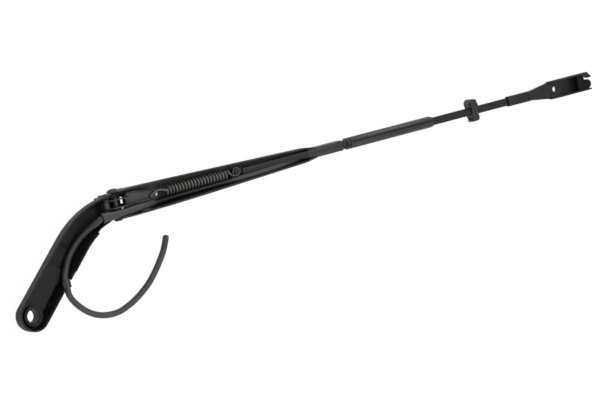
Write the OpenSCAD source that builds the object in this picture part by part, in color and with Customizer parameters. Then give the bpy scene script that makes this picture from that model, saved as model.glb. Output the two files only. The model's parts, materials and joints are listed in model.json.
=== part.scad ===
// Sprung wiper arm for a wide windscreen, with its washer hose. It lies on its back, glass side up.
// The origin is the centre of the spindle bore, level with the face of the boss around it.
// X runs along the arm to its tip, Z points out of the glass side. All sizes are in mm.

/* [Head] */
// Width over the two walls of the head at the spindle
head_width = 34.8; // [32:0.2:40]
// Thickness of the walls and floor of the head
head_wall = 2.4; // [2:0.1:3]
// Height of the rim of the head above the face of the boss
head_rim = 4.5; // [3:0.5:7]
// Diameter of the spindle bore
bore_d = 14.6; // [12:0.2:16]
// Diameter of the boss around the bore
boss_d = 23; // [21:0.5:25]
// Radius of the bend between the head's straight leg and the arm
bend_radius = 99; // [96:1:104]
// Sideways distance from the spindle to the middle of the arm
arm_offset = 94; // [90:1:98]

/* [Arm] */
// Thickness of the folded steel sheet
sheet = 1.8; // [1.4:0.1:2]
// Width over the ears at the hinge
ear_span = 32; // [31.6:0.2:34]
// Distance from the hinge to the shoulder, where the channel ends in its crimp
shoulder = 260; // [250:2:280]
// Length of the crimp on the flat bar
crimp_length = 36; // [30:1:40]
// Distance from the hinge to the outer end of the flat bar
bar_end = 562; // [555:1:600]
// Width of the flat bar
bar_width = 9; // [8:0.2:9.6]
// Thickness of the flat bar
bar_thickness = 4; // [3.4:0.2:4.2]

/* [Hinge and spring] */
// Diameter of the hinge rivet
rivet_d = 5.8; // [5:0.2:6]
// Diameter of the pin that the spring link pulls on
anchor_d = 7; // [6:0.5:7.5]
// Diameter over the coils of the spring
spring_d = 11.6; // [10.8:0.2:11.8]
// Diameter of the spring wire
wire_d = 2.4; // [2:0.1:2.5]
// Number of turns in the coil
spring_turns = 20; // [16:1:24]

/* [Hose] */
// Outer diameter of the washer hose
hose_d = 7; // [6:0.2:7]
// Length of the clip-on cover over the hose and bar
cover_length = 119; // [90:1:140]
// Distance from the hinge to the middle of the nozzle clip
clip_at = 476; // [450:1:500]

/* [Blade fitting] */
// Width over the walls of the blade fitting
fitting_width = 21.2; // [20:0.2:23]
// Diameter of the hole for the blade's stud
stud_hole_d = 7.6; // [6:0.2:8]

/* [Hidden] */
// Level of the back of the arm and head, which is what they lie on
back = -18;
// Running clearance between a pin and the piece that turns on it
running = 0.05;
// Clearance between pieces that lie against each other without touching
lay_clear = 0.1;
corner_steps = 4;
hose_sides = 12;

// Plan of the head: a straight leg at 45 degrees, then a bend that ends along the arm
leg_angle = 45;
leg_end = arm_offset - bend_radius * (1 - cos(leg_angle));
bend_end_x = leg_end + bend_radius * sin(leg_angle);
hinge_setback = 4;
hinge_x = bend_end_x - hinge_setback;
leg_length = leg_end / sin(leg_angle);
head_corner = 9;
// Set-back where one form laps into another, and angle of the round end's lap into the walls
lap = 0.05;
lap_angle = 1.5;
// Distance from the hinge back to the end of the head's shell, and the heading of the bend there
shell_end = 16.6;
last_heading = asin((shell_end + hinge_setback) / bend_radius);
guide_sill = -2.5;
lip_height = 2;

// Levels, all measured from the face of the boss
hinge_z = -11;
anchor_z = -3;
anchor_u = -15;
bar_bottom = -9;
bar_top = bar_bottom + bar_thickness;
crimp_top = bar_top + 1.6;
hose_z = bar_bottom - hose_d / 2 - lay_clear;
rim_at_hinge = 7;

// Sideways places, measured from the middle of the arm
ear_out = ear_span / 2;
ear_in = ear_out - sheet;
lug_out = ear_in - 0.8;
lug_in_left = 8;
lug_in_right = -6;
mech_y = 2;
link_width = 10.4;
cheek = 1.8;

// Hinge
hinge_r = rivet_d / 2;
bush_r = 3.5;
ear_r = hinge_z - back;
lug_r = ear_r - 0.2;
rivet_head_r = 5.2;
rivet_head_h = 1.6;
floor_start = 12;

// Spring and link, along the arm from the hinge
link_hole_u = 46;
coil_start = 60;
coil_end = 142;
eye_z = bar_bottom + bar_thickness / 2 + wire_d / 2 + lay_clear;
lug_u = 154.2;
spring_lug_r = 2.6;
eye_r = spring_lug_r + 0.2 + wire_d / 2;
tongue_end = 162;

// Crimp, cover and clip
crimp_end = shoulder + crimp_length;
crimp_width = bar_width + 2.8;
cover_start = crimp_end + 5;
cover_width = bar_width + 4.2;
clip_length = 12;

// Blade fitting, along the arm from the outer end of the bar
grip_length = 32;
fitting_start = bar_end - grip_length;
flare_start = bar_end + 2;
flare_end = flare_start + 28;
fitting_end = flare_end + 56;
plate_top = -8.6;
plate_t = 2;
fitting_top = -1.6;
fitting_wall = 1.9;
stud_u = flare_end + 9;
stud_collar = 4.6;
joggle_u = stud_u + 5.6;
joggle = 1.3;

// Saddle in the wall of the head that lets the hose out
saddle_x = 46.6;
saddle_z = -0.4;
saddle_r = hose_d / 2 + 1.1;
saddle_length = 8;

// Places in the head: along the leg from the spindle, or at a heading of the bend, then sideways and level
function on_leg(along, side, z) = [along * cos(leg_angle) - side * sin(leg_angle),
    along * sin(leg_angle) + side * cos(leg_angle), z];
function bend_centre(h) = [leg_end + bend_radius * (sin(leg_angle) - sin(h)),
    leg_end + bend_radius * (cos(h) - cos(leg_angle))];
function on_bend(h, side, z) = [bend_centre(h)[0] - side * sin(h), bend_centre(h)[1] + side * cos(h), z];

// One hose. Its free end lies on the surface under the arm and comes up to the saddle
lying_z = back + hose_d / 2 + lap;
free_route = [[186.2, 46.4, lying_z], [178.8, 30.9, lying_z], [167.2, 15.3, lying_z], [154.9, 2.2, lying_z],
    [143.8, -6.5, lying_z], [131.7, -13.8, lying_z], [120.2, -18.8, lying_z], [108.7, -22.1, lying_z],
    [95.2, -22.2, lying_z + 0.1], [82.8, -19.2, lying_z + 0.7], [71, -13, -12], [60, -4.2, -8.2], [52, 4.6, -4.4],
    [47.7, 11.4, -1.5]];
// Through the saddle and the head to the hinge
head_route = [[saddle_x, 17, saddle_z], [saddle_x, 23, saddle_z], [saddle_x, 29, saddle_z],
    on_leg(56.8, -9.8, -1), on_leg(66.5, -8.2, -4.8), on_leg(76, -6.8, -8), on_leg(88, -6.4, -9.4),
    on_bend(39, -6.5, -8.2), on_bend(31.5, -6.4, -4.6), on_bend(26, -5.4, 0.4)];
bend_route = [on_bend(22.7, -4.5, 3.8)];
// Along the arm: distance from the hinge, sideways place, level
guide_route = [[-28, -9.6, 5.6], [-13, -9.3, 5.8], [0, -9, 5], [14, -8.8, 3], [29, -8.4, -0.8], [44, -7.9, -5.6]];
channel_route = [[60, -6.9, -10], [76, -5.9, hose_z + 0.1], [100, -5.2, hose_z], [126, -5.6, hose_z],
    [146, -6, hose_z], [166, -5.5, hose_z], [shoulder - 62, -4.4, hose_z], [shoulder - 32, -2.8, hose_z],
    [shoulder - 12, -0.9, hose_z], [shoulder, 0, hose_z]];
back_route = [[crimp_end, 0, hose_z], [clip_at, 0, hose_z]];

// Points of an arc in the plane
function arc(c, r, from, to, steps) =
    [for (i = [0:steps]) let (a = from + (to - from) * i / steps) [c[0] + r * cos(a), c[1] + r * sin(a)]];

// Smooth curve through the given points, with so many pieces between each two
function blend(a, b, c, d, t) =
    0.5 * (2 * b + (c - a) * t + (2 * a - 5 * b + 4 * c - d) * t * t + (3 * b - a - 3 * c + d) * t * t * t);
function smooth(pts, pieces) = let (last = len(pts) - 1) concat(
    [for (i = [0:last - 1]) for (j = [0:pieces - 1])
        blend(pts[max(i - 1, 0)], pts[i], pts[i + 1], pts[min(i + 2, last)], j / pieces)],
    [pts[last]]);

function unit(v) = v / norm(v);
function square_to(v, t) = unit(v - t * (v * t));
function tangent(path, i) = unit(path[min(i + 1, len(path) - 1)] - path[max(i - 1, 0)]);

// Rings of a round bar along a path, carried along without twist
function tube_rings(path, r, sides, start) =
    [for (i = 0, t = tangent(path, 0), u = square_to(start, t);
          i < len(path);
          i = i + 1, t = tangent(path, min(i, len(path) - 1)), u = square_to(u, t))
        [for (k = [0:sides - 1]) let (a = 360 * k / sides) path[i] + r * (cos(a) * u + sin(a) * cross(t, u))]];

// U-shaped section as [sideways, up] points: both rims, two rounded corners and an even wall
function u_section(w, foot, top_left, top_right, bottom, wall, corner) = concat(
    [[-w, top_right]],
    arc([corner - foot, bottom + corner], corner, -180, -90, corner_steps),
    arc([foot - corner, bottom + corner], corner, -90, 0, corner_steps),
    [[w, top_left], [w - wall, top_left]],
    arc([foot - corner, bottom + corner], corner - wall, 0, -90, corner_steps),
    arc([corner - foot, bottom + corner], corner - wall, -90, -180, corner_steps),
    [[wall - w, top_right]]);

// Solid through a row of rings that all have the same even number of points
module skin(rings) {
    m = len(rings);
    n = len(rings[0]);
    far = (m - 1) * n;
    points = [for (ring = rings) for (p = ring) p];
    sides = [for (i = [0:m - 2]) for (j = [0:n - 1]) let (k = (j + 1) % n)
        each [[i * n + j, (i + 1) * n + k, i * n + k], [i * n + j, (i + 1) * n + j, (i + 1) * n + k]]];
    near_cap = [for (j = [0:n / 2 - 2]) each [[j, j + 1, n - 2 - j], [j, n - 2 - j, n - 1 - j]]];
    far_cap = [for (j = [0:n / 2 - 2])
        each [[far + j, far + n - 2 - j, far + j + 1], [far + j, far + n - 1 - j, far + n - 2 - j]]];
    polyhedron(points, concat(near_cap, sides, far_cap), convexity = 10);
}

module tube(path, r, sides = hose_sides, start = [0, 0, 1]) {
    skin(tube_rings(path, r, sides, start));
}

// The whole hose as rings, and the places where it passes from one stretch to the next
hose_pieces = 3;
function from_hinge(route) = [for (p = route) p + [hinge_x, arm_offset, 0]];
hose_path = concat(smooth(concat(free_route, head_route, bend_route, from_hinge(guide_route), from_hinge(channel_route)),
    hose_pieces), from_hinge(back_route));
hose_rings = tube_rings(hose_path, hose_d / 2, hose_sides, [0, 0, 1]);
saddle_ring = hose_pieces * len(free_route);
bend_ring = saddle_ring + hose_pieces * (len(head_route) - 1);
guide_ring = bend_ring + hose_pieces * (len(bend_route) + 1);
function stretch(rings, from, to) = [for (i = [from:to]) rings[i]];

// Rounded rectangle from [x0, y0] to [x1, y1]
module rounded(x0, x1, y0, y1, r) {
    translate([x0 + r, y0]) square([x1 - x0 - 2 * r, y1 - y0]);
    translate([x0, y0 + r]) square([x1 - x0, y1 - y0 - 2 * r]);
    for (x = [x0 + r, x1 - r], y = [y0 + r, y1 - r]) translate([x, y]) circle(r, $fn = 32);
}

// Puts a section drawn as [sideways, up] along X
module along_x(from, to) {
    translate([from, 0, 0]) rotate([90, 0, 90]) linear_extrude(to - from) children();
}

// Puts a profile drawn as [along, up] across the arm
module across(from, to) {
    translate([0, to, 0]) rotate([90, 0, 0]) linear_extrude(to - from) children();
}

module pin(r, from, to, u, z) {
    translate([u, from, z]) rotate([-90, 0, 0]) cylinder(r = r, h = to - from, $fn = 48);
}

// Places what is drawn from the hinge
module at_hinge() {
    translate([hinge_x, arm_offset, 0]) children();
}

// Head: open channel, boss with the spindle bore, fork for the hinge
leg_stations = [
    [0, head_width / 2, head_rim, head_rim],
    [34, 17.2, head_rim, head_rim],
    [66, 17, head_rim, head_rim],
    [66.8, 17, head_rim, head_rim + lip_height],
    [leg_length, 16.8, head_rim, head_rim + lip_height]];
bend_stations = [
    [40, 16.6, head_rim, head_rim + lip_height],
    [34, 16.3, head_rim, head_rim + lip_height],
    [27.4, 15.9, head_rim, head_rim + lip_height],
    [26.8, 15.9, head_rim, guide_sill + 3],
    [22, 15.6, head_rim, guide_sill],
    [17, 15.3, head_rim, guide_sill],
    [last_heading, 15, head_rim - 1, guide_sill]];

function head_ring(centre, heading, s) =
    [for (p = u_section(s[1], s[1] - 0.4, s[2], s[3], back, head_wall, head_corner))
        [centre[0] - p[0] * sin(heading), centre[1] + p[0] * cos(heading), p[1]]];

module head_shell() {
    skin(concat(
        [for (s = leg_stations) head_ring([s[0] * cos(leg_angle), s[0] * sin(leg_angle)], leg_angle, s)],
        [for (s = bend_stations) head_ring(bend_centre(s[0]), s[0], s)]));
    // Round end, which laps a little way into the walls of the leg
    half = head_width / 2;
    corner = [half - 0.4 - head_corner, back + head_corner];
    rotate([0, 0, leg_angle + 90 - lap_angle]) rotate_extrude(angle = 180 + 2 * lap_angle, $fn = 96) polygon(concat(
        [[half - lap, head_rim - lap]],
        arc(corner, head_corner - lap, 0, -90, corner_steps),
        [[0, back + lap], [0, back + head_wall - lap]],
        arc(corner, head_corner - head_wall + lap, -90, 0, corner_steps),
        [[half - head_wall + lap, head_rim - lap]]));
}

module fork_lug(from, to) {
    across(from, to) {
        translate([0, hinge_z]) circle(lug_r, $fn = 64);
        translate([anchor_u - 1, back]) square([-anchor_u + 1, guide_sill - back]);
    }
}

module head() {
    boss_r = boss_d / 2;
    rib_end = 62;
    color([0.09, 0.09, 0.1]) difference() {
        union() {
            head_shell();
            translate([0, 0, back + 1]) cylinder(r = boss_r, h = -back - 1, $fn = 96);
            // Raised land that runs from the boss up the leg
            rotate([0, 0, leg_angle]) translate([0, 0, back + 1]) linear_extrude(-back - 6.5)
                polygon([[0, -boss_r + 1], [rib_end - 8, -8], [rib_end, -4], [rib_end, 4], [rib_end - 8, 9], [0, boss_r - 0.6]]);
            // Cross rib where the leg starts to bend
            rotate([0, 0, leg_angle]) translate([rib_end + 16, 1, back + 1]) cube([4, 8, 5]);
            at_hinge() {
                fork_lug(lug_in_left, lug_out);
                fork_lug(-lug_out, lug_in_right);
                // Floor that runs on between the lugs, under the bush
                translate([-shell_end - 2, lug_in_right - 1, back]) cube([shell_end + 2, lug_in_left - lug_in_right + 2, head_wall]);
                translate([anchor_u - 7, lug_in_left, back + 1]) cube([8, 4, guide_sill - back + 3]);
                translate([anchor_u - 7, lug_in_right - 5, back + 1]) cube([8, 5, guide_sill - back - 1]);
            }
        }
        translate([0, 0, back - 1]) cylinder(r = bore_d / 2, h = -back + 2, $fn = 96);
        translate([0, 0, -1]) cylinder(r1 = bore_d / 2, r2 = bore_d / 2 + 1, h = 1.01, $fn = 96);
        // Spot face for the nut on the back
        translate([0, 0, back - 1]) cylinder(r = boss_r - 0.5, h = 2.2, $fn = 96);
        // Saddle that lets the hose out over the wall
        translate([saddle_x, 24, saddle_z]) rotate([90, 0, 0]) cylinder(r = saddle_r, h = 25, center = true, $fn = 48);
        translate([saddle_x - saddle_r, 11.5, saddle_z]) cube([2 * saddle_r, 25, 12]);
        at_hinge() {
            pin(hinge_r, -lug_out - 1, lug_out + 1, 0, hinge_z);
            pin(anchor_d / 2, lug_in_right - 3, lug_in_left + 3, anchor_u, anchor_z);
        }
    }
}

// Cradle that lines the saddle of the head, with two lips that hold the hose down
module hose_clip() {
    inner = hose_d / 2 + lay_clear;
    outer = saddle_r;
    color([0.25, 0.25, 0.26]) translate([saddle_x, 24, saddle_z]) rotate([90, 0, 0])
        linear_extrude(saddle_length, center = true)
        difference() {
            union() {
                circle(outer, $fn = 48);
                translate([-outer, 0]) square([2 * outer, 2.2]);
            }
            circle(inner, $fn = 48);
            translate([-inner + 0.5, 0]) square([2 * inner - 1, outer + 1]);
            translate([-outer - 1, 2.2]) square([2 * outer + 2, outer]);
        }
}

// Hinge rivet with a domed head outside each ear
module hinge_rivet() {
    side = ear_out + running;
    color([0.12, 0.12, 0.13]) at_hinge() {
        pin(hinge_r, -side - 0.5, side + 0.5, 0, hinge_z);
        for (s = [-1, 1]) translate([0, s * side, hinge_z]) rotate([-90 * s, 0, 0]) {
            cylinder(r = rivet_head_r, h = rivet_head_h * 0.45, $fn = 48);
            translate([0, 0, rivet_head_h * 0.45])
                cylinder(r1 = rivet_head_r, r2 = rivet_head_r * 0.6, h = rivet_head_h * 0.55, $fn = 48);
        }
    }
}

module hinge_bush() {
    color([0.5, 0.5, 0.5]) at_hinge() difference() {
        pin(bush_r, lug_in_right, lug_in_left, 0, hinge_z);
        pin(hinge_r, lug_in_right - 1, lug_in_left + 1, 0, hinge_z);
    }
}

module hinge_washers() {
    color([0.75, 0.75, 0.72]) at_hinge() for (from = [-ear_in + running, lug_out]) difference() {
        pin(lug_r - 1, from, from + ear_in - lug_out - running, 0, hinge_z);
        pin(hinge_r, from - 1, from + 2, 0, hinge_z);
    }
}

module anchor_pin() {
    color([0.55, 0.55, 0.55]) at_hinge()
        pin(anchor_d / 2, lug_in_right - 3, lug_in_left + 3, anchor_u, anchor_z);
}

// Retainer: folded channel with ears at the hinge and a crimp on the bar
retainer_stations = [
    [floor_start, ear_out, ear_out - 0.4, 7, 3],
    [59, 15.3, 14.5, 5, 3],
    [105, 13.9, 13, 3.1, 3],
    [152, 12.1, 11.3, 1.1, 3],
    [shoulder - 62, 10.3, 9.8, -0.8, 2.8],
    [shoulder - 15, 8.5, 8.3, -2.8, 2.6],
    [shoulder - 5, 6.9, 6.9, -3.2, 2.4],
    [shoulder + 0.5, crimp_width / 2, crimp_width / 2, crimp_top, 2.4]];

module crimp_cavity(from, to) {
    along_x(from, to) {
        translate([-bar_width / 2, bar_bottom]) square([bar_width, bar_thickness]);
        translate([0, hose_z]) circle(hose_d / 2 + 0.05, $fn = 48);
        translate([-1, hose_z]) square([2, bar_bottom - hose_z + 0.1]);
    }
}

module retainer() {
    color([0.07, 0.07, 0.08]) at_hinge() difference() {
        union() {
            skin([for (s = retainer_stations) [for (p = u_section(s[1], s[2], s[3], s[3], back, sheet, s[4]))
                [s[0], p[0], p[1]]]]);
            along_x(shoulder, crimp_end) rounded(-crimp_width / 2, crimp_width / 2, back, crimp_top, 2.2);
            for (from = [-ear_out, ear_in]) across(from, from + sheet) {
                translate([0, hinge_z]) circle(ear_r, $fn = 64);
                polygon([[-ear_r, hinge_z], [-ear_r, rim_at_hinge - 4], [4 - ear_r, rim_at_hinge],
                    [floor_start + 1, rim_at_hinge], [floor_start + 1, back + 3],
                    [0.34 * ear_r, hinge_z - 0.94 * ear_r]]);
            }
        }
        for (s = [-1, 1]) pin(hinge_r + running, s * ear_out - 3, s * ear_out + 3, 0, hinge_z);
        // Round relief in the edge of the floor, beside the hinge
        translate([floor_start, mech_y, back - 1]) cylinder(r = 6, h = 4, $fn = 48);
        crimp_cavity(shoulder - 12, crimp_end + 1);
        // Seam between the two walls where they are pressed together
        translate([shoulder + 4, -0.15, crimp_top - 0.4]) cube([crimp_length, 0.3, 1]);
    }
}

// Link: two cheeks that arch over the hinge, joined by a plate with the spring's hole
module link_profile() {
    z = anchor_z;
    difference() {
        union() {
            translate([anchor_u, z]) circle(5.5, $fn = 64);
            polygon([[anchor_u - 5, z + 2], [anchor_u + 3, z + 10.4], [anchor_u + 6, z + 11.4], [anchor_u + 21, z + 11.4],
                [anchor_u + 34, z + 4.4], [anchor_u + 53, z + 3], [anchor_u + 53, z - 2.4], [anchor_u + 20, z - 2],
                [anchor_u, z - 2]]);
        }
        translate([anchor_u, z]) circle(anchor_d / 2 + running, $fn = 64);
        translate([anchor_u + 15.6, z - 0.6]) circle(8.6, $fn = 64);
        translate([anchor_u + 6.5, z - 10]) square([17.7, 9.6]);
    }
}

module link() {
    half = link_width / 2;
    plate_u = anchor_u + 24.4;
    plate_z = anchor_z - 2.2;
    color([0.34, 0.31, 0.26]) at_hinge() translate([0, mech_y, 0]) difference() {
        union() {
            across(half - cheek, half) link_profile();
            across(-half, cheek - half) link_profile();
            translate([plate_u, -half + 1, plate_z]) cube([anchor_u + 52 - plate_u, link_width - 2, 1.6]);
            translate([anchor_u + 52, 0, plate_z]) linear_extrude(1.6)
                polygon([[-1, -half], [-1, half], [7, 3.8], [11, 3.8], [14, 2], [14, -2], [11, -3.8], [7, -3.8]]);
        }
        translate([link_hole_u, 0, plate_z - 1]) cylinder(r = wire_d / 2 + 0.9, h = 4, $fn = 32);
        // The plate and cheeks narrow together to the hook end
        for (s = [-1, 1]) translate([anchor_u + 47, s * (half + 1.6), plate_z - 2]) rotate([0, 0, -14 * s])
            translate([0, -1.6, 0]) cube([12, 3.2, 12]);
    }
}

// Spring: hook through the link, closed coil under tension, eye around the lug of the bar
coil_r = (spring_d - wire_d) / 2;
coil_z = anchor_z + (eye_z - anchor_z) * (coil_start - anchor_u) / (lug_u - anchor_u) - 0.6;
coil_z_end = eye_z + 0.9;
coil_steps = 12;
hook_path = [[link_hole_u + 4.6, 0, coil_z - 5.2], [link_hole_u + 1.4, 0, coil_z - 4.4], [link_hole_u, 0, coil_z - 1.6],
    [link_hole_u + 0.6, 0, coil_z + 1.6], [link_hole_u + 3.6, 0, coil_z + 3.6], [coil_start - 5, 0.4, coil_z + 3.4]];
coil_path = [for (i = [0:spring_turns * coil_steps]) let (a = 90 + 360 * i / coil_steps, t = i / (spring_turns * coil_steps))
    [coil_start + (coil_end - coil_start) * t, coil_r * cos(a), coil_z + (coil_z_end - coil_z) * t + coil_r * sin(a)]];
eye_path = concat([[coil_end + 2.4, -1.6, coil_z_end + 3.6], [coil_end + 4.4, -3.2, coil_z_end + 1]],
    [for (p = arc([lug_u, 0], eye_r, -90, 180, 9)) [p[0], p[1], eye_z]],
    [[coil_end + 7.4, -2, eye_z]]);

module spring() {
    color([0.33, 0.31, 0.28]) at_hinge() translate([0, mech_y, 0])
        tube(concat(hook_path, coil_path, eye_path), wire_d / 2, 6, [0, 1, 0]);
}

// Flat bar, with a stepped tongue and a lug that the eye of the spring hooks round
module bar() {
    tongue_z = bar_bottom + bar_thickness / 2;
    color([0.08, 0.08, 0.09]) at_hinge() {
        difference() {
            along_x(tongue_end, bar_end) rounded(-bar_width / 2, bar_width / 2, bar_bottom, bar_top, 0.9);
            for (s = [-1, 1]) translate([tongue_end, s * (bar_width / 2), bar_bottom - 1]) rotate([0, 0, 45])
                cube([3.2, 3.2, 2 * bar_thickness + 4], center = true);
        }
        translate([lug_u - 4, mech_y - 3.4, bar_bottom]) cube([tongue_end - lug_u + 5, 6.4, bar_thickness / 2]);
        translate([lug_u, mech_y, tongue_z - 0.1]) cylinder(r = spring_lug_r, h = wire_d + 0.6, $fn = 48);
        translate([lug_u, mech_y, tongue_z + wire_d + 0.4])
            cylinder(r1 = spring_lug_r + 0.9, r2 = spring_lug_r + 0.5, h = 1.2, $fn = 48);
    }
}

// Guide that carries the hose across the hinge, with a flared mouth and a foot on the channel wall
module hose_guide() {
    steps = hose_pieces * (len(guide_route) - 1);
    centres = stretch(hose_path, guide_ring, guide_ring + steps);
    rings = stretch(hose_rings, guide_ring, guide_ring + steps);
    function grown(i, wall) = let (grow = 1 + (wall + 1.5 * max(0, 1 - i / 3)) / (hose_d / 2))
        [for (p = rings[i]) centres[i] + (p - centres[i]) * grow];
    color([0.3, 0.3, 0.31]) {
        difference() {
            skin([for (i = [0:steps]) grown(i, 0.9)]);
            skin([for (i = [0:steps]) let (shift = i == 0 ? -0.5 : i == steps ? 0.5 : 0)
                [for (p = grown(i, 0.2)) p + [shift, 0, 0]]]);
        }
        // Foot that lies against the wall of the channel
        at_hinge() translate([24, -ear_in + 0.6, -5]) cube([11, 1.25, 8]);
    }
}

module hose_head() {
    color([0.2, 0.2, 0.21]) skin(stretch(hose_rings, saddle_ring, bend_ring));
}

module hose_bend() {
    color([0.2, 0.2, 0.21]) skin(stretch(hose_rings, bend_ring, guide_ring));
}

module hose_arm() {
    color([0.2, 0.2, 0.21]) skin(stretch(hose_rings, guide_ring, len(hose_rings) - 1));
}

module hose_free() {
    color([0.2, 0.2, 0.21]) skin(stretch(hose_rings, 0, saddle_ring));
}

// Clip-on cover, slit along the glass side
module hose_cover() {
    half = cover_width / 2;
    color([0.12, 0.12, 0.13]) at_hinge() {
        difference() {
            along_x(cover_start, cover_start + cover_length) rounded(-half, half, back, crimp_top, 4.2);
            crimp_cavity(cover_start - 1, cover_start + cover_length + 1);
            translate([cover_start + 5, 0.9, bar_top - 1]) cube([cover_length, 0.9, 4]);
            // Neck behind the end ring, and the broken corners of the far end
            translate([cover_start + 3, 0, 0]) along_x(0, 1.2) difference() {
                translate([-half - 1, back - 1]) square([2 * half + 2, crimp_top - back + 2]);
                rounded(-half + 0.8, half - 0.8, back + 0.8, crimp_top - 0.8, 3.6);
            }
            for (s = [-1, 1]) translate([cover_start + cover_length, s * half, back]) rotate([0, 0, 45])
                cube([2.2, 2.2, -3 * back], center = true);
        }
    }
}

// Clip that holds the end of the hose on the bar and carries the two spray nozzles
module nozzle_clip() {
    u0 = clip_at - clip_length / 2;
    color([0.1, 0.1, 0.11]) at_hinge() difference() {
        union() {
            translate([u0, -8, back]) cube([clip_length, 18, -3 - back]);
            translate([clip_at, 9.2, back + 1]) cylinder(r = clip_length / 2 - 0.4, h = -2.4 - back, $fn = 64);
            translate([u0 + 0.6, -10.8, back + 3]) cube([clip_length - 1.2, 4, -9 - back]);
            translate([u0 + 2, 4, -3.4]) cube([clip_length - 4, 5, 1.4]);
        }
        along_x(u0 - 1, u0 + clip_length + 1)
            translate([-bar_width / 2, bar_bottom]) square([bar_width, bar_thickness]);
        along_x(u0 - 1, clip_at) translate([0, hose_z]) circle(hose_d / 2, $fn = 48);
        translate([u0 - 1, 9.2, -6]) rotate([0, 90, 0]) cylinder(r = 2.2, h = 4, $fn = 32);
        translate([u0 - 0.2, -8.8, -10]) rotate([0, 90, 0]) cylinder(r = 1.7, h = 3, $fn = 32);
    }
}

module nozzle_jets() {
    u0 = clip_at - clip_length / 2;
    color([0.6, 0.6, 0.6]) at_hinge() {
        translate([u0 + 0.4, 9.2, -6]) rotate([0, 90, 0]) difference() {
            cylinder(r = 2.2, h = 2.6, $fn = 32);
            translate([0, 0, -1]) cylinder(r = 0.6, h = 2.4, $fn = 24);
        }
        translate([u0 + 0.8, -8.8, -10]) rotate([0, 90, 0]) difference() {
            cylinder(r = 1.7, h = 2, $fn = 32);
            translate([0, 0, -1]) cylinder(r = 0.5, h = 2, $fn = 24);
        }
    }
}

// Blade fitting: grip on the bar, flare, plate with the stud hole, two walls
module end_fitting() {
    half = fitting_width / 2;
    grip_half = crimp_width / 2 - 0.1;
    plate_back = plate_top - plate_t;
    color([0.08, 0.08, 0.09]) at_hinge() difference() {
        union() {
            along_x(fitting_start, flare_start) rounded(-grip_half, grip_half, plate_back, crimp_top, 1.6);
            hull() {
                along_x(flare_start - 0.5, flare_start)
                    rounded(lap - grip_half, grip_half - lap, plate_back + lap, crimp_top - lap, 1.6);
                along_x(flare_end - 0.5, flare_end) rounded(-half + 0.8, half - 0.8, plate_back, plate_top, 0.8);
            }
            translate([flare_end - 1, -half + 0.2, plate_back]) cube([joggle_u - flare_end + 2, 2 * half - 0.4, plate_t]);
            translate([joggle_u, -half + 0.2, plate_back - joggle])
                cube([fitting_end - 12 - joggle_u, 2 * half - 0.4, plate_t]);
            for (s = [-1, 1]) across(s > 0 ? half - fitting_wall : -half, s > 0 ? half : fitting_wall - half)
                polygon([[flare_end, plate_back], [flare_end, fitting_top - 3], [flare_end + 6, fitting_top],
                    [fitting_end - (s > 0 ? 4 : 0), fitting_top], [fitting_end, fitting_top - 2],
                    [fitting_end, plate_back - joggle], [joggle_u - 1, plate_back - joggle]]);
            // Collar behind the plate that makes the stud hole deeper
            translate([stud_u, 0, plate_back - stud_collar])
                cylinder(r = stud_hole_d / 2 + plate_t, h = stud_collar + 1, $fn = 64);
            // Tooth at the end of one wall, bent inwards
            translate([0, 0, plate_back]) linear_extrude(fitting_top - 1 - plate_back)
                polygon([[fitting_end - 2, half], [fitting_end + 3.6, 4.6], [fitting_end - 1, 3.6], [fitting_end - 7, half - 2]]);
        }
        translate([stud_u, 0, plate_back - stud_collar - 1]) cylinder(r = stud_hole_d / 2, h = 12, $fn = 64);
        along_x(fitting_start - 1, bar_end) translate([-bar_width / 2, bar_bottom]) square([bar_width, bar_thickness]);
        translate([0, 0, hinge_z]) pin(1.5, -half - 1, half + 1, fitting_end - 14, 5);
    }
}

// Tongue between the walls that the blade's adapter snaps over, and the cross pin that carries it
module tip_tongue() {
    half = fitting_width / 2 - fitting_wall - 0.15;
    color([0.13, 0.13, 0.14]) at_hinge() difference() {
        translate([0, 0, plate_top - joggle + lay_clear]) linear_extrude(6) {
            translate([fitting_end - 22, -half]) square([15, 2 * half]);
            translate([fitting_end - 8, -half]) square([6, half + 1]);
            translate([fitting_end - 3.4, -half + 5.4]) circle(5.4, $fn = 64);
        }
        translate([0, 0, hinge_z]) pin(1.5, -half - 1, half + 1, fitting_end - 14, 5);
    }
}

module tip_pin() {
    half = fitting_width / 2;
    color([0.5, 0.5, 0.5]) at_hinge() translate([0, 0, hinge_z]) pin(1.5, -half, half, fitting_end - 14, 5);
}

head();
hose_clip();
hinge_rivet();
hinge_bush();
hinge_washers();
anchor_pin();
retainer();
link();
spring();
bar();
hose_guide();
hose_head();
hose_bend();
hose_arm();
hose_free();
hose_cover();
nozzle_clip();
nozzle_jets();
end_fitting();
tip_tongue();
tip_pin();
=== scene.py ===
import bpy
import json
import math
from mathutils import Matrix, Vector


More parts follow.
